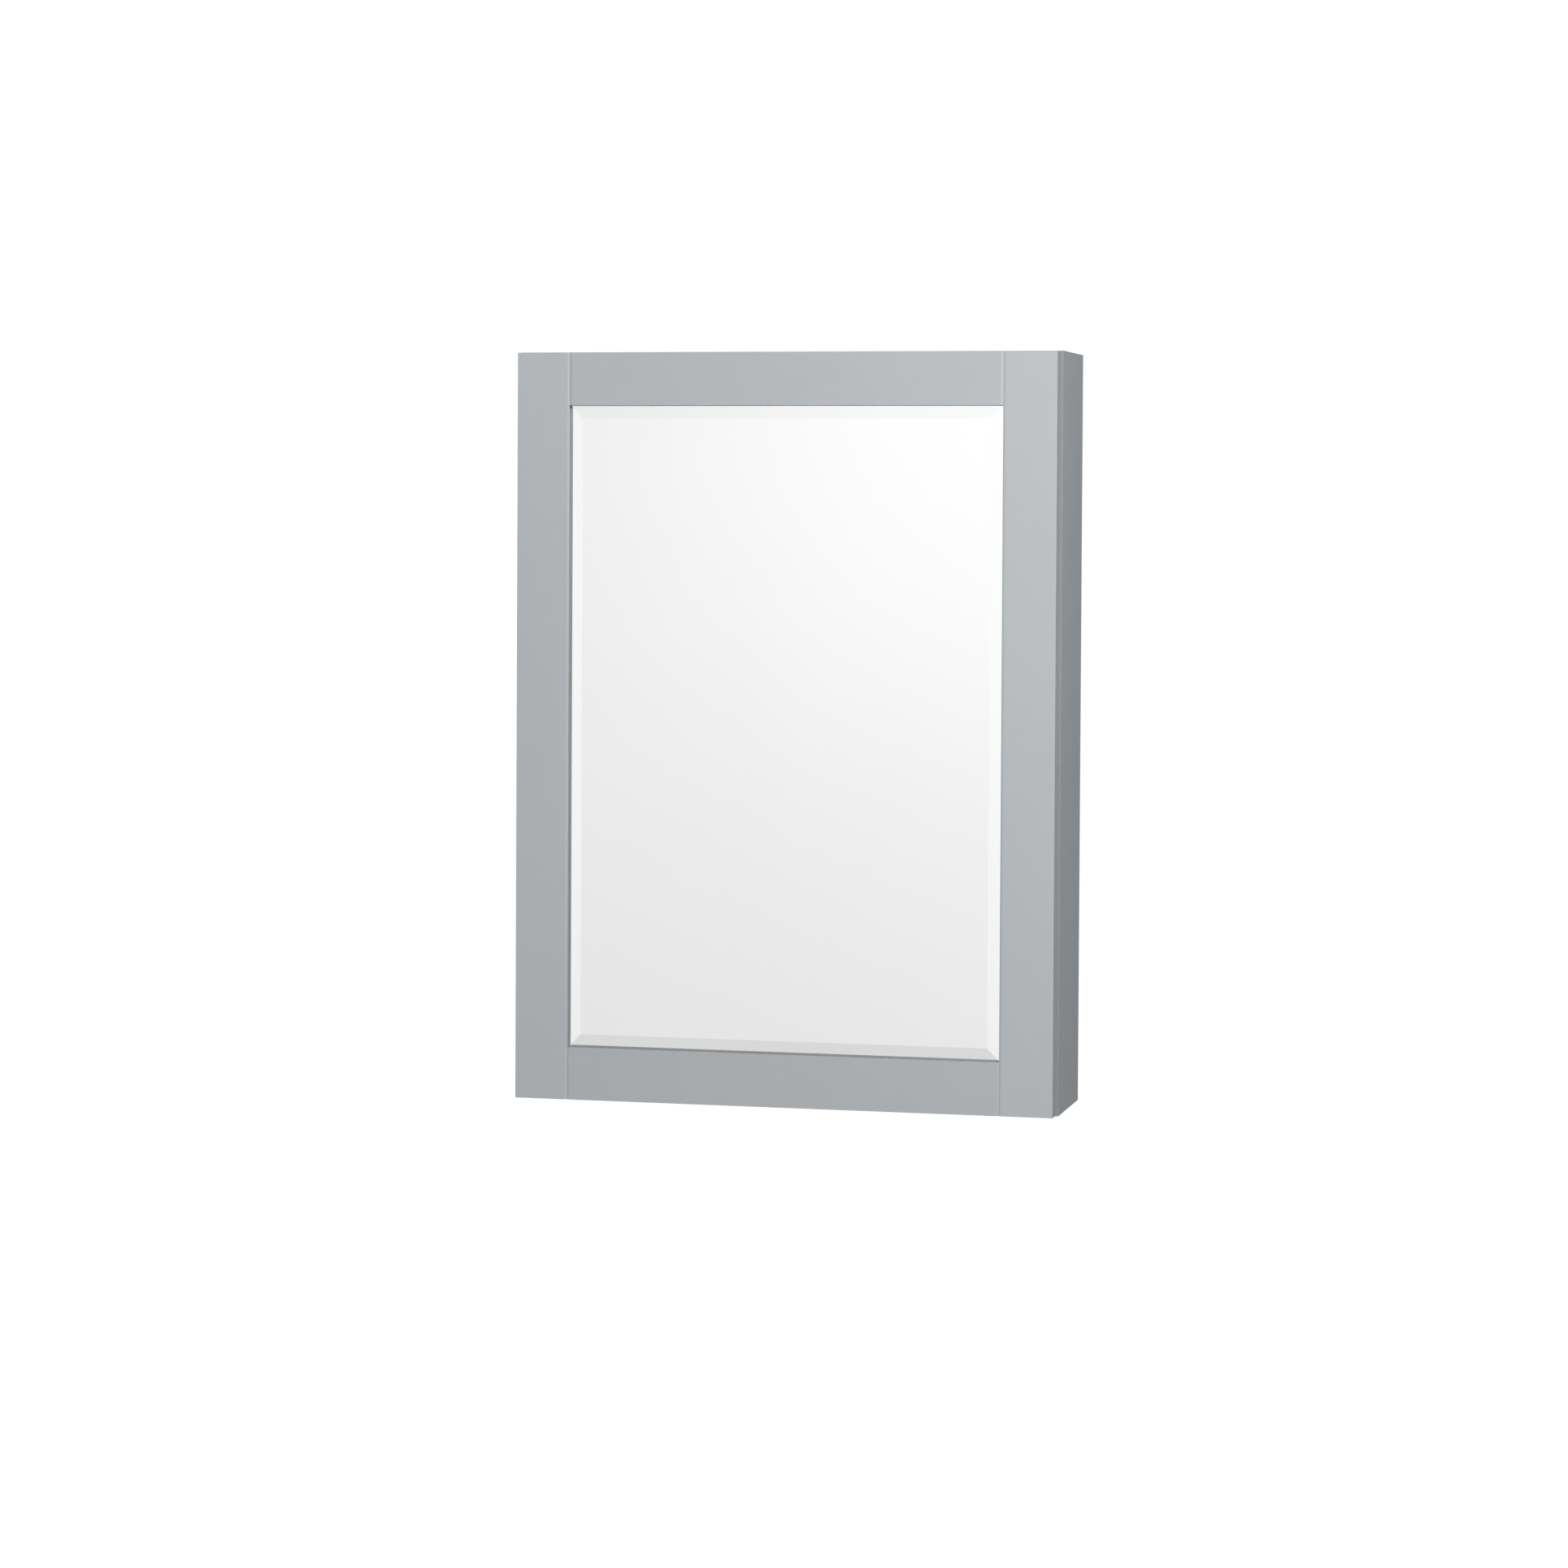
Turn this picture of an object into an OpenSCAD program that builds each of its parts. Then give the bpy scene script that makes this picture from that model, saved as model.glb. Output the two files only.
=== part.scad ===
// Hanging wall cabinet with a framed door that holds a bevelled mirror.
// Origin: the centre of the four wall fixing holes, on the wall plane.
// +Z is up, the wall is the plane Y = 0, and the door faces -Y.
// The door turns on two pinned hinges at its left edge.

/* [Carcass] */
// Width of the carcass
body_w = 560; // [540:1:600]
// Height of the carcass
body_h = 762; // [750:1:780]
// Depth from the wall to the face of the door
body_d = 143; // [138:1:155]
// Thickness of the sides, the top and the bottom
panel_t = 16; // [15:0.5:17]
// Thickness of the back panel
back_t = 5; // [4:0.5:6]
// Depth of the grooves that hold the back panel
groove_d = 6; // [4:0.5:7]
// Thickness of the hanging rails behind the back panel
rail_t = 15; // [14:0.5:17]
// Height of the hanging rails
rail_h = 70; // [60:1:80]

/* [Wall fixing] */
// Distance between the wall fixing holes across the cabinet
fix_w = 406.4; // [380:0.1:420]
// Distance between the upper and the lower wall fixing holes
fix_h = 660; // [650:1:668]
// Radius of the wall fixing holes
fix_r = 2.75; // [2.5:0.05:3]

/* [Door] */
// Thickness of the door
door_t = 19; // [18.5:0.5:20]
// Gap between the back of the door and the carcass
door_gap = 2.5; // [2.4:0.1:3]
// How far the carcass stands out beside the door, on each side
reveal_side = 2.2; // [1.5:0.1:2.5]
// How far the carcass stands out above and below the door
reveal_end = 1; // [0.5:0.1:2]
// Width of the stiles
stile_w = 54.4; // [50:0.2:60]
// Width of the rails
rail_w = 53.4; // [50:0.2:60]
// Width of the chamfers that form the grooves at the frame joints
chamfer_w = 3.2; // [2:0.1:4]
// Depth of the chamfers that form the grooves at the frame joints
chamfer_d = 1.8; // [1:0.1:2.5]
// Thickness of the lip in front of the mirror
lip_t = 7; // [6.5:0.1:7.4]
// Length of the tenons on the rails
tenon_l = 10; // [8:0.5:12]

/* [Mirror] */
// Thickness of the glass
glass_t = 5; // [4.8:0.1:5.2]
// Depth of the mirror's flat face behind the face of the door
mirror_depth = 5.6; // [5.5:0.1:6]
// Width of the bevel along each edge of the glass
bevel_w = 19; // [15:0.5:25]
// How far the bevel falls across its width
bevel_drop = 2.4; // [2:0.1:2.6]
// How far the glass reaches behind the lip
mirror_lap = 6; // [5:0.5:6.5]

/* [Shelves] */
// Thickness of the glass shelves
shelf_t = 5; // [4:0.5:6]
// Depth of the glass shelves
shelf_depth = 92; // [80:1:94]
// Distance between the shelf pin holes
pin_pitch = 32; // [30:1:34]
// Number of hole spacings between one shelf and the next
shelf_steps = 6; // [5:1:6]
// Radius of the shelf pin holes
pin_hole_r = 2.5; // [2.4:0.05:2.6]

/* [Hinges] */
// Height of each hinge
hinge_h = 64; // [60:1:70]
// Distance of each hinge's middle from the end of the carcass
hinge_inset = 95; // [85:1:110]
// Thickness of the hinge leaves
leaf_t = 1.05; // [0.9:0.05:1.05]
// Outer radius of the hinge knuckles
knuckle_r = 2.5; // [2.4:0.05:2.5]
// Radius of the hinge pins
hinge_pin_r = 1.2; // [1:0.05:1.3]

/* [Hidden] */
$fn = 48;
eps = 0.5;
fit = 0.05;
inner_w = body_w - 2 * panel_t;
inner_h = body_h - 2 * panel_t;
carcass_d = body_d - door_t - door_gap;
back_y = -rail_t;
front_y = -carcass_d;
door_back_y = -(body_d - door_t);
door_front_y = -body_d;
door_w = body_w - 2 * reveal_side;
door_h = body_h - 2 * reveal_end;
open_w = door_w - 2 * stile_w;
open_h = door_h - 2 * rail_w;

// Dowels: the panels' and the rails'
dowel_r = 4;
dowel_in = 10;
dowel_l = 30;
dowel_ys = [-32, -62, -96];
small_dowel_r = 3;
small_dowel_l = 20;
small_dowel_dz = 20;

// Mirror rebate, and the step behind it for the backing panel
rebate_w = mirror_lap + 1;
step_w = 15;
board_t = 5;
board_back = 0.4;
board_y = door_back_y - board_back - board_t;
mirror_face_y = door_front_y + mirror_depth;
glass_back_y = mirror_face_y + glass_t;
silver_t = 0.2;
mirror_w = open_w + 2 * mirror_lap;
mirror_h = open_h + 2 * mirror_lap;
foam_w = 20;
foam_count = 5;
foam_span = 360;
foam_short = 30;

// Tenons
tenon_t = 7;
tenon_side = 9;
tenon_y = door_back_y - 10;

// Screws
leaf_screw = [2.7, 1.4, 12];
board_screw = [2.7, 1.4, 14];
catch_screw = [2.7, 1.4, 12];
recess_w = 0.8;
recess_d = 1;

// Hinges
axis_x = -body_w / 2 - 0.6;
axis_y = front_y - 2.8;
knuckles = 5;
knuckle_gap = 0.3;
leaf_screw_dz = 22;
leaf_clear = knuckle_r + 0.5;
frame_leaf_end = -body_w / 2 + 14.5;
door_leaf_end = -door_w / 2 + 16;
frame_screw_x = -body_w / 2 + 8;
door_screw_x = -door_w / 2 + 9;
hinge_z = body_h / 2 - hinge_inset;
pin_cap_r = 2.3;
pin_cap_h = 1.4;

// Shelves
shelf_pin_z = shelf_steps * pin_pitch;
hole_rows = 7;
hole_depth = 11;
pin_front_y = front_y + 25;
pin_rear_y = back_y - back_t - 24;
pin_in = 9;
pin_flange_r = 3.8;
pin_flange_t = 1.4;
pin_nose_r = 3.2;
pin_nose_l = 9;
pin_flat = 1.2;
pad_t = 1;
pad_w = 4;
shelf_gap = 0.3;
shelf_w = inner_w - 3;
shelf_front_y = front_y + 6;
shelf_lift = pin_flat + pad_t + shelf_gap;

// Catch
catch_z = -3 * pin_pitch;
catch_h = 46;
catch_w = 14;
catch_x = inner_w / 2 - catch_w / 2;
catch_len = 21;
tab_h = 11;
tab_t = 2.5;
pole_t = 1.6;
pole_h = 24;
pole_l = 13;
pole_dx = 2.6;
pole_out = 0.5;
strike_w = 12;
strike_h = 40;
strike_t = 1.3;

// Bumpers
bumper_r = 4.5;
bumper_t = 1.8;
bumper_z = door_h / 2 - 9;

// A block from its low corner and its size
module block(low, size) {
  translate(low) cube(size);
}

// A countersunk screw: head face at the origin, point along +Z
module screw(spec, grow) {
  cone_h = spec[0] - spec[1];
  translate([0, 0, -grow])
    cylinder(r1 = spec[0] + grow, r2 = spec[1] + grow, h = cone_h + grow);
  cylinder(r = spec[1] + grow, h = spec[2] - spec[1] + grow);
  translate([0, 0, spec[2] - spec[1] + grow])
    cylinder(r1 = spec[1] + grow, r2 = 0.2, h = spec[1]);
}

// The same screw with a cross recess in its head
module recessed_screw(spec) {
  difference() {
    screw(spec, 0);
    for (a = [0, 90])
      rotate([0, 0, a])
        translate([-spec[0] * 0.6, -recess_w / 2, -recess_d])
          cube([spec[0] * 1.2, recess_w, 2 * recess_d]);
  }
}

// Turns +Z to +Y, to -Y and to +X
module toward_wall() {
  rotate([-90, 0, 0]) children();
}
module toward_door() {
  rotate([90, 0, 0]) children();
}
module toward_right() {
  rotate([0, 90, 0]) children();
}

// ---- Dowels ----

module panel_dowel_shapes(grow) {
  for (sx = [-1, 1])
    for (sz = [-1, 1])
      for (y = dowel_ys)
        translate([sx * (inner_w / 2 + dowel_in - dowel_l / 2), y, sz * (body_h - panel_t) / 2])
          toward_right()
            cylinder(r = dowel_r + grow, h = dowel_l + 2 * grow, center = true);
}

module rail_dowel_shapes(grow) {
  for (sx = [-1, 1])
    for (sz = [-1, 1])
      for (dz = [-small_dowel_dz, small_dowel_dz])
        translate([sx * inner_w / 2, -rail_t / 2, sz * (inner_h - rail_h) / 2 + dz])
          toward_right()
            cylinder(r = small_dowel_r + grow, h = small_dowel_l + 2 * grow, center = true);
}

module panel_dowels() {
  color("#c9a874") panel_dowel_shapes(0);
}

module rail_dowels() {
  color("#c9a874") rail_dowel_shapes(0);
}

// ---- Carcass ----

module back_groove() {
  gw = inner_w + 2 * groove_d;
  gh = inner_h + 2 * groove_d;
  block([-gw / 2, back_y - back_t - fit, -gh / 2], [gw, back_t + 2 * fit, gh]);
}

module pin_holes(sx) {
  for (k = [-hole_rows:hole_rows])
    for (y = [pin_front_y, pin_rear_y])
      translate([sx * inner_w / 2, y, k * pin_pitch])
        rotate([0, sx * 90, 0])
          translate([0, 0, -eps])
            cylinder(r = pin_hole_r, h = hole_depth + eps);
}

module side_panel(sx) {
  difference() {
    block([sx > 0 ? inner_w / 2 : -body_w / 2, front_y, -body_h / 2], [panel_t, carcass_d, body_h]);
    back_groove();
    pin_holes(sx);
    panel_dowel_shapes(fit);
    rail_dowel_shapes(fit);
    if (sx < 0)
      frame_leaf_screw_shapes(fit);
    if (sx > 0)
      catch_screw_shapes(fit);
  }
}

module side_panel_left() {
  color("#b9bdc0") side_panel(-1);
}

module side_panel_right() {
  color("#b9bdc0") side_panel(1);
}

module end_panel(sz) {
  difference() {
    block([-inner_w / 2, front_y, sz > 0 ? inner_h / 2 : -body_h / 2], [inner_w, carcass_d, panel_t]);
    back_groove();
    panel_dowel_shapes(fit);
  }
}

module top_panel() {
  color("#b9bdc0") end_panel(1);
}

module bottom_panel() {
  color("#b9bdc0") end_panel(-1);
}

module fixing_shapes(head) {
  for (sx = [-1, 1])
    for (sz = [-1, 1])
      translate([sx * fix_w / 2, eps, sz * fix_h / 2])
        toward_door() {
          cylinder(r = fix_r, h = rail_t + back_t + 2 * eps);
          if (head)
            translate([0, 0, rail_t + back_t + eps - fix_r])
              cylinder(r1 = fix_r, r2 = 2 * fix_r + fit, h = fix_r + fit);
        }
}

module back_panel() {
  side = fit * 6;
  bw = inner_w + 2 * groove_d - side;
  bh = inner_h + 2 * groove_d - side;
  color("#c3c6c8")
    difference() {
      block([-bw / 2, back_y - back_t, -bh / 2], [bw, back_t, bh]);
      fixing_shapes(true);
    }
}

module hanging_rail(sz) {
  low_z = sz > 0 ? inner_h / 2 - rail_h : -inner_h / 2;
  difference() {
    block([-inner_w / 2, -rail_t, low_z], [inner_w, rail_t, rail_h]);
    rail_dowel_shapes(fit);
    fixing_shapes(false);
  }
}

module hanging_rail_upper() {
  color("#c9a874") hanging_rail(1);
}

module hanging_rail_lower() {
  color("#c9a874") hanging_rail(-1);
}

// ---- Shelves and their pins ----

module shelf_pin(sx) {
  rotate([0, sx * 90, 0])
    cylinder(r = pin_hole_r - fit, h = pin_in);
  difference() {
    rotate([0, -sx * 90, 0]) {
      cylinder(r = pin_flange_r, h = pin_flange_t);
      cylinder(r = pin_nose_r, h = pin_nose_l);
    }
    block([-pin_nose_l - eps, -2 * pin_flange_r, pin_flat], [2 * pin_nose_l + 2 * eps, 4 * pin_flange_r, pin_flange_r]);
  }
}

module shelf_pins(z) {
  for (sx = [-1, 1])
    for (y = [pin_front_y, pin_rear_y])
      translate([sx * inner_w / 2, y, z])
        shelf_pin(sx);
}

module shelf_pins_upper() {
  color("#c8cacc") shelf_pins(shelf_pin_z);
}

module shelf_pins_middle() {
  color("#c8cacc") shelf_pins(0);
}

module shelf_pins_lower() {
  color("#c8cacc") shelf_pins(-shelf_pin_z);
}

module shelf_pads() {
  pad_l = pin_nose_l - pin_flange_t - 1;
  color("#e4e6e8")
    for (sx = [-1, 1])
      for (y = [pin_front_y, pin_rear_y])
        for (k = [-1, 0, 1])
          translate([sx * (inner_w / 2 - pin_flange_t - 0.5 - pad_l / 2), y, k * shelf_pin_z + pin_flat + pad_t / 2])
            cube([pad_l, pad_w, pad_t], center = true);
}

module glass_shelf(z) {
  block([-shelf_w / 2, shelf_front_y, z + shelf_lift], [shelf_w, shelf_depth, shelf_t]);
}

module glass_shelf_upper() {
  color("#cfe3dc") glass_shelf(shelf_pin_z);
}

module glass_shelf_middle() {
  color("#cfe3dc") glass_shelf(0);
}

module glass_shelf_lower() {
  color("#cfe3dc") glass_shelf(-shelf_pin_z);
}

// ---- Hinges ----

module on_hinges() {
  for (sz = [-1, 1])
    translate([0, 0, sz * hinge_z])
      children();
}

module frame_leaf_screw_shapes(grow) {
  on_hinges()
    for (dz = [-leaf_screw_dz, 0, leaf_screw_dz])
      translate([frame_screw_x, front_y - leaf_t, dz])
        toward_wall()
          screw(leaf_screw, grow);
}

module door_leaf_screw_shapes(grow) {
  on_hinges()
    for (dz = [-leaf_screw_dz, 0, leaf_screw_dz])
      translate([door_screw_x, door_back_y + leaf_t, dz])
        toward_door()
          screw(leaf_screw, grow);
}

// One knuckle, counted from the bottom, with room above and below it
module knuckle(k, r, margin) {
  step = hinge_h / knuckles;
  translate([axis_x, axis_y, -hinge_h / 2 + k * step + knuckle_gap / 2 - margin])
    cylinder(r = r, h = step - knuckle_gap + 2 * margin);
}

module hinge_bore() {
  translate([axis_x, axis_y, -hinge_h / 2 - eps])
    cylinder(r = hinge_pin_r + fit, h = hinge_h + 2 * eps);
}

module frame_leaf() {
  difference() {
    union() {
      block([axis_x, front_y - leaf_t, -hinge_h / 2], [frame_leaf_end - axis_x, leaf_t, hinge_h]);
      for (k = [0, 2, 4])
        knuckle(k, knuckle_r, 0);
    }
    for (k = [1, 3])
      knuckle(k, leaf_clear, knuckle_gap);
    hinge_bore();
  }
}

module door_leaf() {
  difference() {
    union() {
      block([axis_x + hinge_pin_r, door_back_y, -hinge_h / 2], [door_leaf_end - axis_x - hinge_pin_r, leaf_t, hinge_h]);
      for (k = [1, 3])
        knuckle(k, knuckle_r, 0);
    }
    for (k = [0, 2, 4])
      knuckle(k, leaf_clear, knuckle_gap);
    hinge_bore();
  }
}

module frame_leaf_at(z) {
  difference() {
    translate([0, 0, z]) frame_leaf();
    frame_leaf_screw_shapes(fit);
  }
}

module door_leaf_at(z) {
  difference() {
    translate([0, 0, z]) door_leaf();
    door_leaf_screw_shapes(fit);
  }
}

module hinge_frame_leaf_upper() {
  color("#b4b7ba") frame_leaf_at(hinge_z);
}

module hinge_frame_leaf_lower() {
  color("#b4b7ba") frame_leaf_at(-hinge_z);
}

module hinge_door_leaf_upper() {
  color("#b4b7ba") door_leaf_at(hinge_z);
}

module hinge_door_leaf_lower() {
  color("#b4b7ba") door_leaf_at(-hinge_z);
}

module hinge_pin(z) {
  translate([axis_x, axis_y, z]) {
    cylinder(r = hinge_pin_r, h = hinge_h, center = true);
    for (s = [0, 1])
      mirror([0, 0, s])
        translate([0, 0, hinge_h / 2])
          cylinder(r1 = pin_cap_r, r2 = pin_cap_r * 0.6, h = pin_cap_h);
  }
}

module hinge_pin_upper() {
  color("#a9acaf") hinge_pin(hinge_z);
}

module hinge_pin_lower() {
  color("#a9acaf") hinge_pin(-hinge_z);
}

module frame_leaf_screws() {
  color("#c8cacc")
    on_hinges()
      for (dz = [-leaf_screw_dz, 0, leaf_screw_dz])
        translate([frame_screw_x, front_y - leaf_t, dz])
          toward_wall()
            recessed_screw(leaf_screw);
}

module door_leaf_screws() {
  color("#c8cacc")
    on_hinges()
      for (dz = [-leaf_screw_dz, 0, leaf_screw_dz])
        translate([door_screw_x, door_back_y + leaf_t, dz])
          toward_door()
            recessed_screw(leaf_screw);
}

// ---- Magnetic catch on the right side ----

module catch_screw_places() {
  for (sz = [-1, 1])
    translate([inner_w / 2 - tab_t, front_y + catch_len / 2, catch_z + sz * (catch_h + tab_h) / 2])
      toward_right()
        children();
}

module catch_screw_shapes(grow) {
  catch_screw_places() screw(catch_screw, grow);
}

module catch_screws() {
  color("#c8cacc")
    catch_screw_places() recessed_screw(catch_screw);
}

module catch_housing() {
  color("#eef0f1")
    difference() {
      union() {
        block([inner_w / 2 - catch_w, front_y + 1, catch_z - catch_h / 2], [catch_w, catch_len - 1, catch_h]);
        block(
          [inner_w / 2 - tab_t, front_y + 2, catch_z - catch_h / 2 - tab_h],
          [tab_t, catch_len - 4, catch_h + 2 * tab_h]
        );
      }
      block(
        [catch_x - pole_dx - pole_t / 2 - fit, front_y, catch_z - pole_h / 2 - fit],
        [2 * pole_dx + pole_t + 2 * fit, pole_l + fit, pole_h + 2 * fit]
      );
      catch_screw_shapes(fit);
    }
}

module catch_poles() {
  color("#a9acaf")
    for (s = [-1, 1])
      block(
        [catch_x + s * pole_dx - pole_t / 2, front_y - pole_out, catch_z - pole_h / 2],
        [pole_t, pole_l, pole_h]
      );
}

module catch_magnet() {
  magnet_w = 2 * pole_dx - pole_t - 2 * fit;
  magnet_h = pole_h - 2;
  color("#4b4d50")
    block(
      [catch_x - magnet_w / 2, front_y + 1.5, catch_z - magnet_h / 2],
      [magnet_w, pole_l - 2, magnet_h]
    );
}

module strike_place() {
  translate([catch_x, door_back_y + strike_t, catch_z])
    toward_door()
      children();
}

module catch_strike() {
  color("#c8cacc")
    difference() {
      block(
        [catch_x - strike_w / 2, door_back_y, catch_z - strike_h / 2],
        [strike_w, strike_t, strike_h]
      );
      strike_place() screw(leaf_screw, fit);
    }
}

module strike_screw() {
  color("#c8cacc") strike_place() recessed_screw(leaf_screw);
}

// ---- Door frame ----

// The space behind the lip, and the wider step for the backing panel
module mirror_space() {
  rw = open_w + 2 * rebate_w;
  rh = open_h + 2 * rebate_w;
  sw = open_w + 2 * step_w;
  sh = open_h + 2 * step_w;
  block([-rw / 2, door_front_y + lip_t, -rh / 2], [rw, door_t, rh]);
  block([-sw / 2, board_y, -sh / 2], [sw, door_t, sh]);
}

module board_screw_places() {
  side_x = open_w / 2 + rebate_w + 4;
  end_z = open_h / 2 + rebate_w + 4;
  for (sx = [-1, 1])
    for (k = [-2:2])
      translate([sx * side_x, board_y + board_t, k * (end_z - 40) / 2])
        toward_door()
          children();
  for (sz = [-1, 1])
    for (k = [-1, 0, 1])
      translate([k * (side_x - 40), board_y + board_t, sz * end_z])
        toward_door()
          children();
}

// Plan section of a stile with its inner front edge chamfered, inner edge at X = 0
module stile_section() {
  polygon([
    [-stile_w, 0], [-stile_w, -door_t], [-chamfer_w, -door_t],
    [0, -door_t + chamfer_d], [0, 0]
  ]);
}

module tenons(grow) {
  for (sx = [-1, 1])
    for (sz = [-1, 1])
      translate([sx * (open_w / 2 + tenon_l / 2), tenon_y, sz * (open_h / 2 + rail_w / 2 + step_w / 4)])
        cube([
          tenon_l + 2 * grow, tenon_t + 2 * grow,
          rail_w - 2 * tenon_side - step_w / 2 + 2 * grow
        ], center = true);
}

module stile_shape() {
  translate([-open_w / 2, door_back_y, -door_h / 2])
    linear_extrude(height = door_h)
      stile_section();
}

module stile_cuts() {
  mirror_space();
  tenons(fit);
  board_screw_places() screw(board_screw, fit);
}

module door_stile_left() {
  color("#b9bdc0")
    difference() {
      stile_shape();
      stile_cuts();
      door_leaf_screw_shapes(fit);
    }
}

module door_stile_right() {
  color("#b9bdc0")
    difference() {
      mirror([1, 0, 0]) stile_shape();
      stile_cuts();
      strike_place() screw(leaf_screw, fit);
    }
}

// Plan section of a rail with both ends chamfered
module rail_section() {
  polygon([
    [-open_w / 2, 0], [-open_w / 2, -door_t + chamfer_d], [-open_w / 2 + chamfer_w, -door_t],
    [open_w / 2 - chamfer_w, -door_t], [open_w / 2, -door_t + chamfer_d], [open_w / 2, 0]
  ]);
}

module door_rail(sz) {
  low_z = sz > 0 ? open_h / 2 : -door_h / 2;
  difference() {
    union() {
      translate([0, door_back_y, low_z])
        linear_extrude(height = rail_w)
          rail_section();
      intersection() {
        tenons(0);
        block([-body_w / 2, door_front_y, low_z], [body_w, door_t, rail_w]);
      }
    }
    mirror_space();
    board_screw_places() screw(board_screw, fit);
  }
}

module door_rail_top() {
  color("#b9bdc0") door_rail(1);
}

module door_rail_bottom() {
  color("#b9bdc0") door_rail(-1);
}

// ---- Mirror and what holds it ----

// The wedge that a bevel takes off, along an edge of the given length, glass edge at X = 0
module bevel_wedge(length) {
  translate([0, 0, -length / 2 - bevel_w])
    linear_extrude(height = length + 2 * bevel_w)
      polygon([[-bevel_w, 0], [eps, bevel_drop * (bevel_w + eps) / bevel_w], [eps, -eps], [-bevel_w, -eps]]);
}

module mirror_glass() {
  color("#e9eff2")
    difference() {
      block([-mirror_w / 2, mirror_face_y, -mirror_h / 2], [mirror_w, glass_t, mirror_h]);
      for (s = [0, 1])
        mirror([s, 0, 0])
          translate([mirror_w / 2, mirror_face_y, 0])
            bevel_wedge(mirror_h);
      for (s = [0, 1])
        mirror([0, 0, s])
          translate([0, mirror_face_y, mirror_h / 2])
            rotate([0, -90, 0])
              bevel_wedge(mirror_w);
    }
}

module mirror_silver() {
  color("#dfe3e6")
    block([-mirror_w / 2, glass_back_y, -mirror_h / 2], [mirror_w, silver_t, mirror_h]);
}

module foam_tape() {
  tape_t = board_y - glass_back_y - silver_t;
  color("#3c3e40")
    for (k = [0:foam_count - 1])
      block(
        [-foam_span / 2 - foam_w / 2 + k * foam_span / (foam_count - 1), glass_back_y + silver_t, -mirror_h / 2 + foam_short],
        [foam_w, tape_t, mirror_h - 2 * foam_short]
      );
}

module door_back_panel() {
  bw = open_w + 2 * step_w - 1;
  bh = open_h + 2 * step_w - 1;
  color("#c3c6c8")
    difference() {
      block([-bw / 2, board_y, -bh / 2], [bw, board_t, bh]);
      board_screw_places() screw(board_screw, fit);
    }
}

module back_panel_screws() {
  color("#c8cacc")
    board_screw_places() recessed_screw(board_screw);
}

module door_bumpers() {
  color("#e4e6e8")
    for (sx = [-1, 1])
      for (sz = [-1, 1])
        translate([sx * (inner_w + panel_t) / 2, door_back_y, sz * bumper_z])
          toward_wall()
            cylinder(r1 = bumper_r, r2 = bumper_r * 0.75, h = bumper_t);
}

// ---- The assembly ----

side_panel_left();
side_panel_right();
top_panel();
bottom_panel();
back_panel();
hanging_rail_upper();
hanging_rail_lower();
panel_dowels();
rail_dowels();
shelf_pins_upper();
shelf_pins_middle();
shelf_pins_lower();
shelf_pads();
hinge_frame_leaf_upper();
hinge_frame_leaf_lower();
hinge_pin_upper();
hinge_pin_lower();
frame_leaf_screws();
catch_housing();
catch_poles();
catch_magnet();
catch_screws();
door_stile_left();
door_stile_right();
door_rail_top();
door_rail_bottom();
mirror_glass();
mirror_silver();
foam_tape();
door_back_panel();
back_panel_screws();
hinge_door_leaf_upper();
hinge_door_leaf_lower();
door_leaf_screws();
catch_strike();
strike_screw();
door_bumpers();
glass_shelf_upper();
glass_shelf_middle();
glass_shelf_lower();
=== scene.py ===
import math

import bpy
from mathutils import Matrix, Vector


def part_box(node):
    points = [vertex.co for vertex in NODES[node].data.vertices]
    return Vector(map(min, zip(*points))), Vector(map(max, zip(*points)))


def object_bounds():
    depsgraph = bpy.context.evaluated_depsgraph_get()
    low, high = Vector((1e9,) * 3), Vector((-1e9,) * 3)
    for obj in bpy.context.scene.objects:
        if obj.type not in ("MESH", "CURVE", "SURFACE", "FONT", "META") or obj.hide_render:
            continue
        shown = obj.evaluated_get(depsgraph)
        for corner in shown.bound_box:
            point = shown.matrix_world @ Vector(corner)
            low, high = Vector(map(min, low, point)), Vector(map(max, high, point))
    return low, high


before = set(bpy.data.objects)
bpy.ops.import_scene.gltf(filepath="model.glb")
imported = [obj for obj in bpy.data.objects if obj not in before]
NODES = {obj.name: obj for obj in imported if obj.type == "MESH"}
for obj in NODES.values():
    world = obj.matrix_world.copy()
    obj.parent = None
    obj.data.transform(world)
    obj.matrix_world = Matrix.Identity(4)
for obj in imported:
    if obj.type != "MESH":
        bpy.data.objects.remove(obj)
CAD_LOW, CAD_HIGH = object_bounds()
scene = bpy.context.scene


# ---------------------------------------------------------------- node helpers

NOISE_MIDDLE = (0.3, 0.7)
# A face counts as facing an axis as its normal's part along that axis rises through this range
FACING = (0.6, 0.9)


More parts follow.
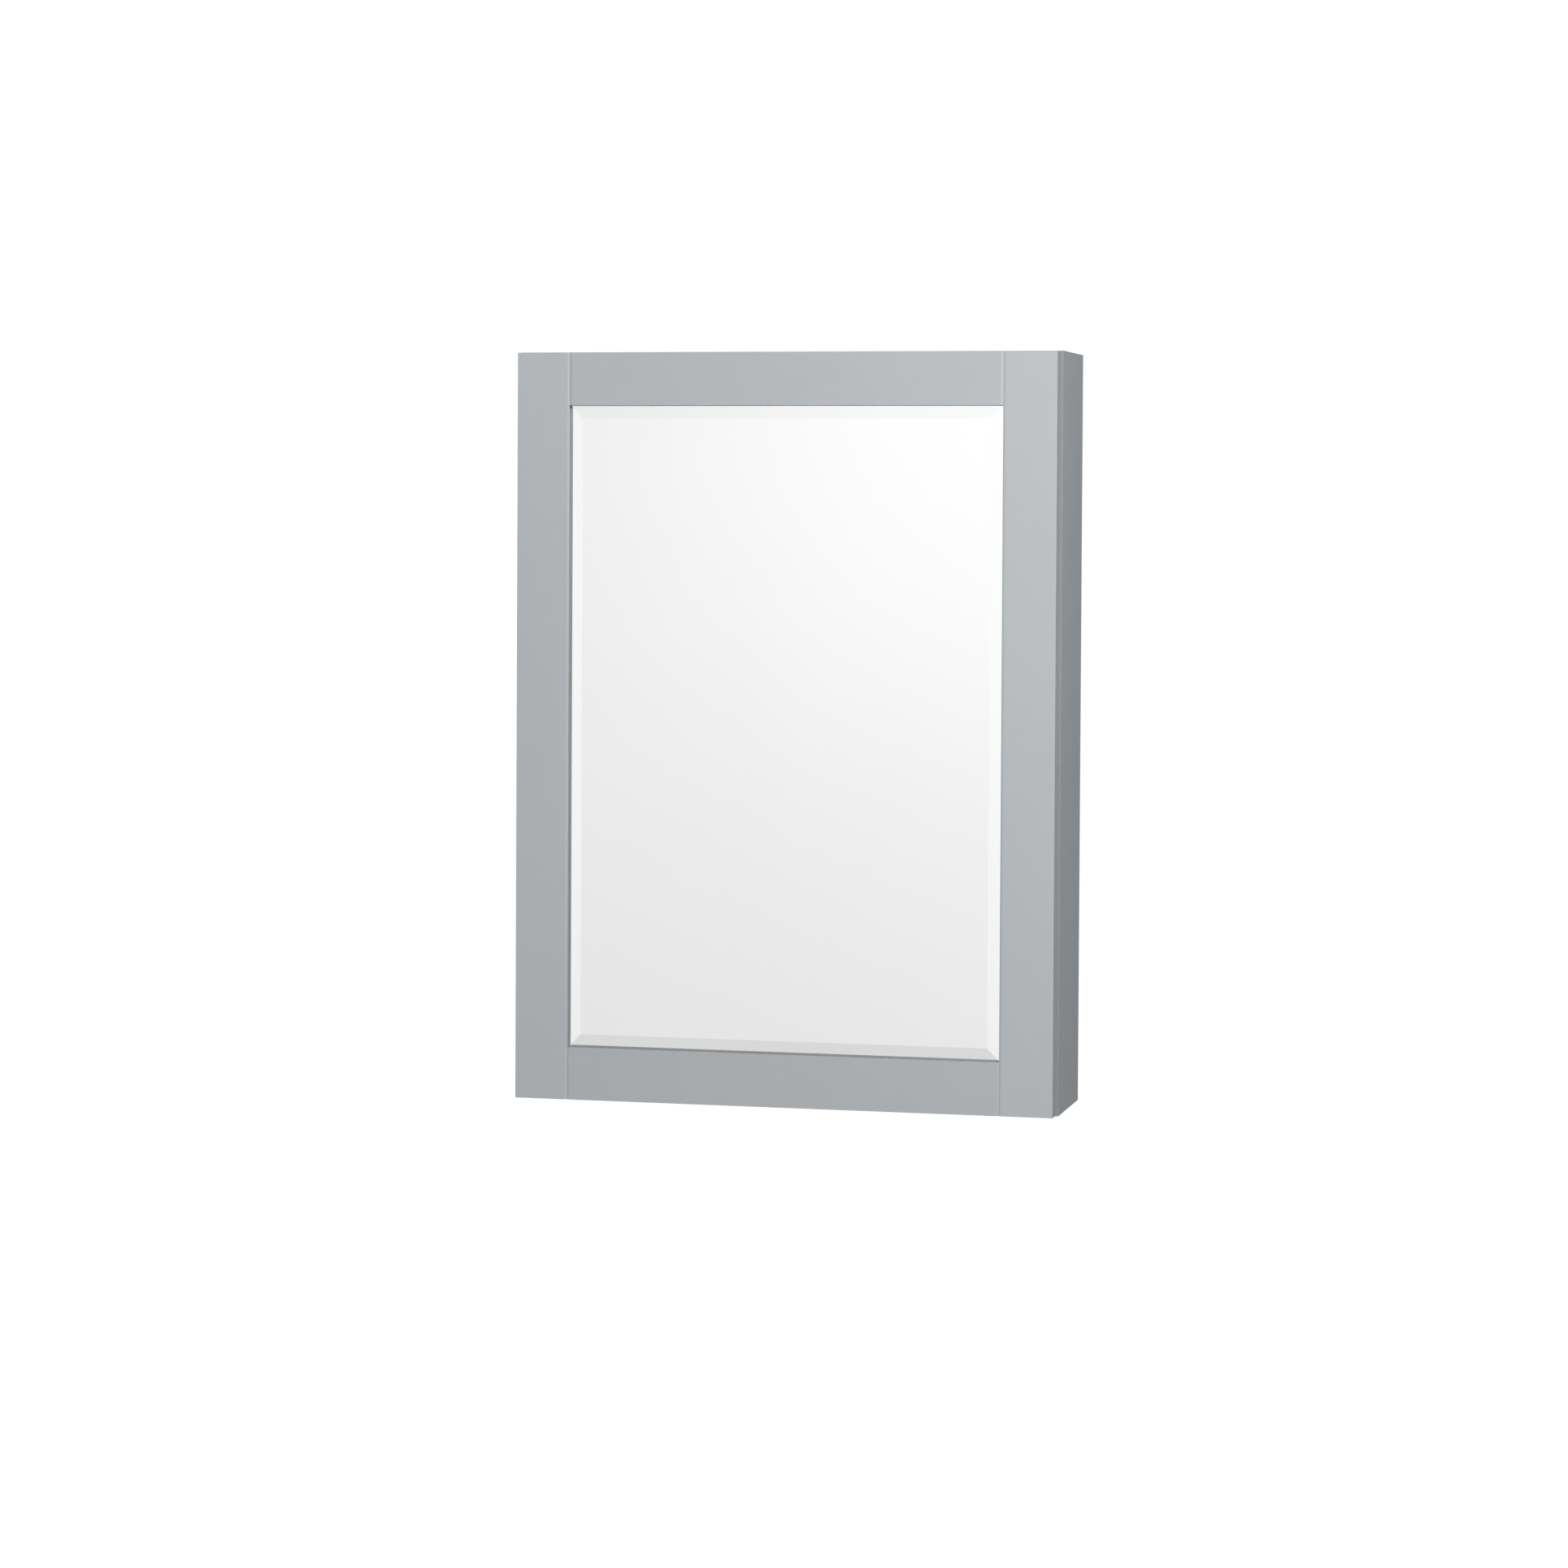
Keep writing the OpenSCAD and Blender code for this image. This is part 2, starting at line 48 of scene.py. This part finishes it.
class Tree:
    """A material's node tree with short calls for the nodes used here."""

    def __init__(self, name):
        self.mat = bpy.data.materials.new(name)
        self.mat.use_nodes = True
        self.nodes = self.mat.node_tree.nodes
        self.links = self.mat.node_tree.links
        self.shader = self.nodes["Principled BSDF"]
        self.out = self.nodes["Material Output"]
        self.coords = self.nodes.new("ShaderNodeTexCoord").outputs["Object"]

    def link(self, value, socket):
        if isinstance(value, bpy.types.NodeSocket):
            self.links.new(value, socket)
        else:
            socket.default_value = value

    def math(self, op, a, b=0.0, c=None):
        n = self.nodes.new("ShaderNodeMath")
        n.operation = op
        self.link(a, n.inputs[0])
        self.link(b, n.inputs[1])
        if c is not None:
            self.link(c, n.inputs[2])
        return n.outputs[0]

    def stretch(self, scale):
        n = self.nodes.new("ShaderNodeMapping")
        n.inputs["Scale"].default_value = scale
        self.links.new(self.coords, n.inputs["Vector"])
        return n.outputs[0]

    def noise(self, scale, detail=3.0, rough=0.5, vector=None, distortion=0.0):
        n = self.nodes.new("ShaderNodeTexNoise")
        n.inputs["Scale"].default_value = scale
        n.inputs["Detail"].default_value = detail
        n.inputs["Roughness"].default_value = rough
        n.inputs["Distortion"].default_value = distortion
        self.links.new(vector or self.coords, n.inputs["Vector"])
        return n.outputs["Fac"]

    def fit(self, value, low, high, to_low, to_high, smooth=False):
        n = self.nodes.new("ShaderNodeMapRange")
        if smooth:
            n.interpolation_type = "SMOOTHSTEP"
        n.inputs["From Min"].default_value = low
        n.inputs["From Max"].default_value = high
        n.inputs["To Min"].default_value = to_low
        n.inputs["To Max"].default_value = to_high
        self.link(value, n.inputs["Value"])
        return n.outputs[0]

    def spread(self, value, to_low=0.0, to_high=1.0):
        """Maps the middle of a noise's range, where nearly all of it lies, to a new range."""
        return self.fit(value, *NOISE_MIDDLE, to_low, to_high)

    def mix(self, fac, a, b):
        n = self.nodes.new("ShaderNodeMix")
        n.data_type = "RGBA"
        self.link(fac, n.inputs[0])
        for value, socket in ((a, n.inputs[6]), (b, n.inputs[7])):
            self.link(value if isinstance(value, bpy.types.NodeSocket) else (*value, 1.0), socket)
        return n.outputs[2]

    def tinted(self, color, by):
        n = self.nodes.new("ShaderNodeMix")
        n.data_type = "RGBA"
        n.blend_type = "MULTIPLY"
        n.inputs[0].default_value = 1.0
        self.links.new(color, n.inputs[6])
        n.inputs[7].default_value = (by, by, by, 1.0)
        return n.outputs[2]

    def bump(self, height, distance, under=None):
        n = self.nodes.new("ShaderNodeBump")
        n.inputs["Strength"].default_value = 1.0
        n.inputs["Distance"].default_value = distance
        self.link(height, n.inputs["Height"])
        if under is not None:
            self.link(under, n.inputs["Normal"])
        return n.outputs[0]

    def axes(self):
        n = self.nodes.new("ShaderNodeSeparateXYZ")
        self.links.new(self.coords, n.inputs[0])
        return n.outputs

    def facing(self):
        """The true normal's X, Y and Z, in the object's own space."""
        geo = self.nodes.new("ShaderNodeTexCoord").outputs["Normal"]
        n = self.nodes.new("ShaderNodeSeparateXYZ")
        self.links.new(geo, n.inputs[0])
        return n.outputs

    def soften(self, aside, above, below):
        """The normal with its sideways, upward and downward tilt scaled, as glass bends a bevel."""
        x, y, z = self.facing()
        n = self.nodes.new("ShaderNodeCombineXYZ")
        self.link(self.math("MULTIPLY", x, aside), n.inputs[0])
        self.link(y, n.inputs[1])
        self.link(self.math("MULTIPLY", z, self.fit(z, -0.01, 0.01, below, above)), n.inputs[2])
        turn = self.nodes.new("ShaderNodeVectorTransform")
        turn.vector_type = "NORMAL"
        turn.convert_from = "OBJECT"
        turn.convert_to = "WORLD"
        self.links.new(n.outputs[0], turn.inputs[0])
        return turn.outputs[0]

    def edge_distance(self, low, high):
        """Distance to the nearest edge of a box, for a point on the box's surface."""
        xyz = self.axes()
        gaps = []
        for k in range(3):
            a = self.math("SUBTRACT", xyz[k], low[k])
            b = self.math("SUBTRACT", high[k], xyz[k])
            gaps.append(self.math("MINIMUM", a, b))
        small = self.math("MINIMUM", gaps[0], gaps[1])
        large = self.math("MAXIMUM", gaps[0], gaps[1])
        return self.math("MAXIMUM", small, self.math("MINIMUM", large, gaps[2]))

    def surface(self, color=None, rough=None, metal=0.0, normal=None, **fixed):
        s = self.shader.inputs
        if color is not None:
            self.link(color if isinstance(color, bpy.types.NodeSocket) else (*color, 1.0), s["Base Color"])
        if rough is not None:
            self.link(rough, s["Roughness"])
        s["Metallic"].default_value = metal
        if normal is not None:
            self.links.new(normal, s["Normal"])
        for key, value in fixed.items():
            s[key.replace("_", " ")].default_value = value
        return self.mat


# ------------------------------------------------------------------- materials

PAINT = (0.447, 0.470, 0.489)
PAINT_SHADES = (0.975, 1.022)
# Lighter paint where it is worn near the edges; it also serves as a painted highlight along the edges
PAINT_WORN_AND_HIGHLIGHT = 1.22
PAINT_ROUGHNESS = (0.44, 0.52)
# Wear, lighter paint that also serves as a painted highlight along the edges, fades out over this distance
# from an edge
WEAR_AND_HIGHLIGHT_REACH = (0.0004, 0.0021)
# Bump depths of the paint's peel, of its brush marks and of the wood grain under it
PEEL_DEPTH, BRUSH_DEPTH, GRAIN_DEPTH = 0.000022, 0.00003, 0.00009
RAW_BOARD = (0.47, 0.33, 0.20)
RAW_SHADES = (0.8, 1.15)
# Painted shade: the carcass panels' front faces are darkened to this share of the paint, for the shade the
# closed door casts on them
FRONT_PAINTED_SHADE = 0.72
RAIL_TINT = 0.972
BOARD_TINT = 1.02
TOP_DULLNESS = 0.35
GLASS_IOR = 1.52
# How much of the mirror's bevels' tilt the reflection shows: sideways, above and below
BEVEL_TILT = (0.5, 0.2, 0.5)


def shaded(color, by):
    return [c * by for c in color]


def grain_scale(axis, along=4.0, across=70.0):
    scale = [across, across, across]
    scale["xyz".index(axis)] = along
    return scale


def painted(node, axis="z", raw_rear=False, tint=1.0, painted_front_shade=1.0, dull=0.0, gloss=0.5):
    """Satin grey paint over wood, its grain along axis, worn a little at the edges, where the lighter worn
    paint also serves as a painted highlight. Dull roughens its top. The front shade darkens the front faces
    as painted shade.
    """
    low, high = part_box(node)
    t = Tree("paint_" + node)
    cloud = t.noise(3.2, 2.0, 0.5)
    mottle = t.noise(38.0, 3.0, 0.6)
    grain = t.noise(2.2, 5.0, 0.62, t.stretch(grain_scale(axis)), 0.35)
    peel = t.noise(950.0, 2.0, 0.55)
    brush = t.noise(6.0, 2.0, 0.5, t.stretch(grain_scale(axis, 6.0, 210.0)))
    shade = t.math("ADD", t.spread(cloud, -0.5, 0.5), t.spread(mottle, -0.28, 0.28))
    dark, light = (shaded(PAINT, tint * by) for by in PAINT_SHADES)
    base = t.mix(t.fit(shade, -0.8, 0.8, 0.0, 1.0), dark, light)
    edge = t.edge_distance(low, high)
    near = t.fit(edge, *WEAR_AND_HIGHLIGHT_REACH, 1.0, 0.0, True)
    patches = t.fit(t.noise(60.0, 4.0, 0.65), 0.5, 0.72, 0.0, 1.0, True)
    # Worn paint near the edges, lighter in patches: part wear, part painted highlight of the edges
    wear_and_highlight = t.math("MULTIPLY", near, patches)
    base = t.mix(t.math("MULTIPLY", wear_and_highlight, 0.45), base, shaded(PAINT, tint * PAINT_WORN_AND_HIGHLIGHT))
    rough = t.math("ADD", t.spread(mottle, *PAINT_ROUGHNESS), t.math("MULTIPLY", wear_and_highlight, 0.1))
    if dull:
        rough = t.math("ADD", rough, t.fit(t.facing()[2], *FACING, 0.0, dull))
    normal = t.bump(peel, PEEL_DEPTH)
    normal = t.bump(brush, BRUSH_DEPTH, normal)
    normal = t.bump(grain, GRAIN_DEPTH, normal)
    # Painted shade: the front faces are darkened, for the closed door's shade on the carcass's front edges
    if painted_front_shade != 1.0:
        fore = t.fit(t.facing()[1], -FACING[0], -FACING[1], 0.0, 1.0)
        base = t.mix(fore, base, t.tinted(base, painted_front_shade))
    if raw_rear:
        rear = t.fit(t.facing()[1], *FACING, 0.0, 1.0)
        fibre = t.noise(420.0, 4.0, 0.7, t.stretch(grain_scale(axis, 0.35, 1.0)))
        raw = t.mix(t.spread(fibre), *(shaded(RAW_BOARD, by) for by in RAW_SHADES))
        base = t.mix(rear, base, raw)
        rough = t.math("ADD", rough, t.math("MULTIPLY", rear, 0.4))
    return t.surface(base, rough, normal=normal, Specular_IOR_Level=gloss)


def sawn_wood(name, light, dark, axis):
    """Bare wood: growth rings stretched along the grain, with fine pores."""
    t = Tree(name)
    wide = t.noise(1.6, 4.0, 0.6, t.stretch(grain_scale(axis, 2.0, 34.0)), 1.1)
    rings = t.nodes.new("ShaderNodeTexWave")
    rings.wave_type = "RINGS"
    rings.rings_direction = axis.upper()
    rings.inputs["Scale"].default_value = 34.0
    rings.inputs["Distortion"].default_value = 3.4
    rings.inputs["Detail"].default_value = 3.0
    rings.inputs["Detail Scale"].default_value = 1.4
    t.links.new(t.stretch(grain_scale(axis, 0.12, 1.0)), rings.inputs["Vector"])
    pores = t.noise(8.0, 3.0, 0.6, t.stretch(grain_scale(axis, 6.0, 160.0)))
    both = t.math("ADD", t.math("MULTIPLY", rings.outputs["Fac"], 0.4), t.math("MULTIPLY", wide, 0.75))
    base = t.mix(t.fit(both, 0.1, 0.95, 0.0, 1.0), dark, light)
    base = t.mix(t.fit(pores, 0.62, 0.8, 0.0, 0.45), base, shaded(dark, 0.55))
    rough = t.fit(both, 0.2, 0.9, 0.72, 0.58)
    normal = t.bump(pores, 0.00012)
    normal = t.bump(wide, 0.0002, normal)
    return t.surface(base, rough, normal=normal)


def metal(name, tone, low, high, axis, brush=0.00001):
    """Plated steel with fine drawn lines along axis and faint handling marks."""
    t = Tree(name)
    lines = t.noise(9.0, 3.0, 0.6, t.stretch(grain_scale(axis, 12.0, 900.0)))
    smudge = t.noise(28.0, 2.0, 0.5)
    base = t.mix(t.fit(smudge, 0.35, 0.7, 0.0, 1.0), shaded(tone, 0.97), tone)
    rough = t.math("ADD", t.spread(smudge, low, high), t.spread(lines, -0.03, 0.03))
    return t.surface(base, rough, 1.0, t.bump(lines, brush))


def moulded(name, tone, low, high, pebble=1400.0):
    """Moulded plastic or rubber with a fine pebbled skin."""
    t = Tree(name)
    fine = t.noise(pebble, 2.0, 0.5)
    cloud = t.noise(60.0, 3.0, 0.5)
    base = t.mix(t.spread(cloud), shaded(tone, 0.94), [min(1.0, c * 1.03) for c in tone])
    return t.surface(base, t.spread(cloud, low, high), normal=t.bump(fine, 0.00002))


def clear_glass(name, tone, rough, smear, fog_tone, fog_density):
    """Clear glass with a faint, uneven film on its surface and a tint that deepens with thickness."""
    t = Tree(name)
    film = t.fit(t.noise(smear, 4.0, 0.65), 0.45, 0.8, 0.0, rough, True)
    fog = t.nodes.new("ShaderNodeVolumeAbsorption")
    fog.inputs["Color"].default_value = (*fog_tone, 1.0)
    fog.inputs["Density"].default_value = fog_density
    t.links.new(fog.outputs[0], t.out.inputs["Volume"])
    return t.surface(tone, film, Transmission_Weight=1.0, IOR=GLASS_IOR)


def mirror_pane(name):
    """Silvered glass: a clean reflection with a faint uneven film, and a green cut edge."""
    t = Tree(name)
    film = t.noise(7.0, 4.0, 0.65)
    tone = t.mix(t.fit(film, 0.3, 0.75, 0.0, 1.0), (0.955, 0.957, 0.956), (0.966, 0.968, 0.967))
    cut = t.fit(t.math("ABSOLUTE", t.facing()[1]), 0.5, 0.2, 0.0, 1.0)
    tone = t.mix(cut, tone, (0.42, 0.62, 0.55))
    rough = t.math("ADD", t.fit(film, 0.4, 0.8, 0.004, 0.012), t.math("MULTIPLY", cut, 0.2))
    wave = t.noise(3.0, 1.0, 0.4)
    bent = t.bump(wave, 0.00002, t.soften(*BEVEL_TILT))
    return t.surface(tone, rough, 1.0, bent, Coat_Weight=0.3, Coat_Roughness=0.01, Coat_IOR=GLASS_IOR)


def silvered(name):
    """A mirror's silver coat, its rear face painted grey."""
    t = Tree(name)
    rear = t.fit(t.facing()[1], 0.5, 0.9, 0.0, 1.0)
    cloud = t.noise(14.0, 3.0, 0.6)
    base = t.mix(t.spread(cloud), (0.965, 0.97, 0.968), (0.98, 0.982, 0.98))
    base = t.mix(rear, base, (0.25, 0.27, 0.28))
    return t.surface(base, t.spread(cloud, 0.0, 0.004), 1.0)


def foam(name):
    """Dark closed-cell foam."""
    t = Tree(name)
    cells = t.nodes.new("ShaderNodeTexVoronoi")
    cells.inputs["Scale"].default_value = 1500.0
    t.links.new(t.coords, cells.inputs["Vector"])
    depth = cells.outputs["Distance"]
    base = t.mix(t.fit(depth, 0.0, 0.6, 0.0, 1.0), (0.035, 0.036, 0.038), (0.085, 0.086, 0.09))
    return t.surface(base, t.fit(depth, 0.0, 0.6, 0.95, 0.8), normal=t.bump(depth, 0.0002))


def dress(node, material):
    for slot in NODES[node].material_slots:
        slot.material = material


DOOR_EASE, CARCASS_EASE, GLASS_EASE = 0.0005, 0.0004, 0.0007
EASE_ANGLE = math.radians(38.0)
WELD_DISTANCE = 1e-6
SLIVER_SIZE = 1.7e-6


def ease(node, width):
    """Rounds a node's sharp edges by up to width. The clamp leaves far less where edges are short."""
    o = NODES[node]
    weld = o.modifiers.new("join", "WELD")
    weld.merge_threshold = WELD_DISTANCE
    bevel = o.modifiers.new("ease", "BEVEL")
    bevel.width = width
    bevel.segments = 3
    bevel.limit_method = "ANGLE"
    bevel.angle_limit = EASE_ANGLE
    bevel.use_clamp_overlap = True
    bevel.harden_normals = False
    clean = o.modifiers.new("clean", "WELD")
    clean.merge_threshold = SLIVER_SIZE
    normals = o.modifiers.new("normals", "WEIGHTED_NORMAL")
    normals.weight = 60
    normals.keep_sharp = False


# Carcass
for node, axis, gloss in (
    ("side_panel_left", "z", 0.5), ("side_panel_right", "z", 0.5),
    ("top_panel", "x", 0.12), ("bottom_panel", "x", 0.5),
):
    # The front faces take painted shade, darkened for the closed door's shade on them
    paint = painted(node, axis, raw_rear=True, painted_front_shade=FRONT_PAINTED_SHADE, dull=TOP_DULLNESS, gloss=gloss)
    dress(node, paint)
dress("back_panel", painted("back_panel", "z", raw_rear=True, tint=BOARD_TINT))
for node in ("hanging_rail_upper", "hanging_rail_lower"):
    dress(node, sawn_wood("pine_" + node, (0.74, 0.56, 0.34), (0.55, 0.36, 0.18), "x"))
for node in ("panel_dowels", "rail_dowels"):
    dress(node, sawn_wood("beech_" + node, (0.60, 0.42, 0.26), (0.47, 0.31, 0.18), "x"))

# Door
for node, axis, tint in (
    ("door_stile_left", "z", 1.0), ("door_stile_right", "z", 1.0),
    ("door_rail_top", "x", RAIL_TINT), ("door_rail_bottom", "x", RAIL_TINT),
):
    dress(node, painted(node, axis, tint=tint))
dress("door_back_panel", painted("door_back_panel", "z", tint=BOARD_TINT))

# Mirror and shelves
dress("mirror_glass", mirror_pane("mirror_pane"))
dress("mirror_silver", silvered("silver_coat"))
dress("foam_tape", foam("foam"))
for node in ("glass_shelf_upper", "glass_shelf_middle", "glass_shelf_lower"):
    dress(node, clear_glass("glass_" + node, (0.97, 0.99, 0.985), 0.02, 9.0, (0.35, 0.80, 0.66), 14.0))

# Metal, plastic and rubber
NICKEL = (0.60, 0.592, 0.572)
ZINC = (0.70, 0.715, 0.735)
for node in (
    "hinge_frame_leaf_upper", "hinge_frame_leaf_lower", "hinge_door_leaf_upper", "hinge_door_leaf_lower",
    "hinge_pin_upper", "hinge_pin_lower",
):
    dress(node, metal("nickel_" + node, NICKEL, 0.27, 0.32, "z"))
for node in ("shelf_pins_upper", "shelf_pins_middle", "shelf_pins_lower"):
    dress(node, metal("pin_" + node, NICKEL, 0.22, 0.34, "x"))
for node in (
    "frame_leaf_screws", "catch_screws", "back_panel_screws", "door_leaf_screws", "catch_strike",
    "strike_screw",
):
    dress(node, metal("zinc_" + node, ZINC, 0.28, 0.42, "x"))
dress("catch_poles", metal("pole_steel", (0.42, 0.42, 0.43), 0.34, 0.5, "y"))
dress("catch_housing", moulded("white_plastic", (0.80, 0.80, 0.78), 0.42, 0.52))
dress("catch_magnet", moulded("ferrite", (0.045, 0.045, 0.048), 0.55, 0.7, 2600.0))
for node in ("door_bumpers", "shelf_pads"):
    dress(node, moulded("soft_" + node, (0.72, 0.74, 0.75), 0.24, 0.34))

# Eased edges: the shelves get the full width, but the clamp leaves only about 0.05 mm on the top and bottom
# panels, and 0.002 mm on the stiles, the rails and the side panels
for node in ("door_stile_left", "door_stile_right", "door_rail_top", "door_rail_bottom"):
    ease(node, DOOR_EASE)
for node in ("side_panel_left", "side_panel_right", "top_panel", "bottom_panel"):
    ease(node, CARCASS_EASE)
for node in ("glass_shelf_upper", "glass_shelf_middle", "glass_shelf_lower"):
    ease(node, GLASS_EASE)


# ------------------------------------------------------------- floor and light


FLOOR_DROP = 5.0
FLOOR_RADIUS = 14.0
FLOOR_SIDES = 96


def floor_disc():
    """A wide pale floor, low enough for the hanging cabinet to be looked at from below."""
    z = CAD_LOW.z - FLOOR_DROP
    mesh = bpy.data.meshes.new("floor")
    turns = [2 * math.pi * k / FLOOR_SIDES for k in range(FLOOR_SIDES)]
    ring = [(FLOOR_RADIUS * math.cos(a), FLOOR_RADIUS * math.sin(a), z) for a in turns]
    mesh.from_pydata(ring, [], [list(range(FLOOR_SIDES))])
    obj = bpy.data.objects.new("floor", mesh)
    scene.collection.objects.link(obj)
    t = Tree("floor")
    tone = t.mix(t.noise(1.5, 3.0, 0.5), (0.90, 0.90, 0.90), (0.93, 0.93, 0.93))
    t.surface(tone, t.spread(t.noise(30.0), 0.75, 0.85), Emission_Color=(1, 1, 1, 1), Emission_Strength=1.0)
    mesh.materials.append(t.mat)
    obj.visible_diffuse = False
    obj.visible_glossy = False
    obj.visible_transmission = False
    obj.visible_shadow = False


def area_light(name, place, target, size, power, tone=(1.0, 1.0, 1.0)):
    light = bpy.data.lights.new(name, "AREA")
    light.shape = "SQUARE"
    light.size = size
    light.energy = power
    light.color = tone
    obj = bpy.data.objects.new(name, light)
    obj.location = place
    obj.visible_camera = False
    obj.rotation_mode = "QUATERNION"
    obj.rotation_quaternion = (Vector(target) - Vector(place)).to_track_quat("-Z", "Y")
    scene.collection.objects.link(obj)
    return obj


BACKDROP = 1.02
AMBIENT = 0.166
# Soft panels around the door: strength, degrees to the right, degrees up, and how tightly each is gathered
PANELS = (
    (0.479, -25.0, -9.9, 7.8),
    (0.900, 11.1, 4.7, 12.0),
    (0.800, -36.8, 1.5, 37.7),
    (0.180, -11.2, 1.9, 204.0),
    (0.420, 63.0, -6.0, 20.0),
    (0.400, -80.0, 0.0, 12.0),
    (0.300, -5.0, 55.0, 14.0),
)


def studio_world():
    """White where the camera sees it; for light and reflections, soft panels around a grey room."""
    world = bpy.data.worlds.new("studio")
    scene.world = world
    world.use_nodes = True
    nodes, links = world.node_tree.nodes, world.node_tree.links
    nodes.clear()
    out = nodes.new("ShaderNodeOutputWorld")
    ray = nodes.new("ShaderNodeLightPath")
    coords = nodes.new("ShaderNodeTexCoord")

    def op(kind, a, b):
        n = nodes.new("ShaderNodeMath")
        n.operation = kind
        for value, socket in ((a, n.inputs[0]), (b, n.inputs[1])):
            if isinstance(value, bpy.types.NodeSocket):
                links.new(value, socket)
            else:
                socket.default_value = value
        return n.outputs[0]

    def along(direction):
        n = nodes.new("ShaderNodeVectorMath")
        n.operation = "DOT_PRODUCT"
        links.new(coords.outputs["Generated"], n.inputs[0])
        n.inputs[1].default_value = direction
        return n.outputs["Value"]

    glow = AMBIENT
    for strength, right, above, gather in PANELS:
        az, el = math.radians(right), math.radians(above)
        aim = (math.sin(az) * math.cos(el), -math.cos(az) * math.cos(el), math.sin(el))
        panel = op("POWER", op("MAXIMUM", along(aim), 0.0), gather)
        glow = op("ADD", op("MULTIPLY", panel, strength), glow)
    shown = nodes.new("ShaderNodeBackground")
    shown.inputs["Color"].default_value = (1, 1, 1, 1)
    shown.inputs["Strength"].default_value = BACKDROP
    lit = nodes.new("ShaderNodeBackground")
    lit.inputs["Color"].default_value = (1, 1, 1, 1)
    links.new(glow, lit.inputs["Strength"])
    both = nodes.new("ShaderNodeMixShader")
    links.new(ray.outputs["Is Camera Ray"], both.inputs[0])
    links.new(lit.outputs[0], both.inputs[1])
    links.new(shown.outputs[0], both.inputs[2])
    links.new(both.outputs[0], out.inputs["Surface"])


floor_disc()
studio_world()
area_light("key", (1.45, -2.1, 1.35), (0.0, -0.12, 0.0), 1.1, 56.8)
area_light("side_fill", (2.3, 0.6, 1.5), (0.2, 0.0, 0.0), 1.4, 2.4, (0.80, 0.96, 1.24))
area_light("rear_fill", (-0.9, 3.2, -0.9), (0.0, 0.0, 0.0), 1.8, 75.0)
scene.view_settings.view_transform = "Standard"
scene.view_settings.look = "None"
scene.cycles.caustics_reflective = False
scene.cycles.caustics_refractive = False


# ----------------------------------------------------------------------- camera

AZIMUTH = math.radians(13.3008)
PITCH = math.radians(1.4913)
ROLL = math.radians(0.3038)
CAMERA_PLACE = (0.962345, -4.206335, 0.220537)
LENS = 95.568
SHIFT_UP = -0.105


def photo_camera():
    data = bpy.data.cameras.new("camera")
    data.sensor_fit = "HORIZONTAL"
    data.sensor_width = 36.0
    data.lens = LENS
    data.shift_y = SHIFT_UP
    data.dof.use_dof = False
    data.clip_end = 100.0
    cam = bpy.data.objects.new("camera", data)
    flat = math.cos(PITCH)
    ahead = Vector((-math.sin(AZIMUTH) * flat, math.cos(AZIMUTH) * flat, -math.sin(PITCH)))
    level = Vector((math.cos(AZIMUTH), math.sin(AZIMUTH), 0.0))
    upright = level.cross(ahead)
    right = level * math.cos(ROLL) + upright * math.sin(ROLL)
    up = upright * math.cos(ROLL) - level * math.sin(ROLL)
    turn = Matrix((right, up, -ahead)).transposed()
    cam.matrix_world = Matrix.Translation(CAMERA_PLACE) @ turn.to_4x4()
    scene.collection.objects.link(cam)
    scene.camera = cam


photo_camera()
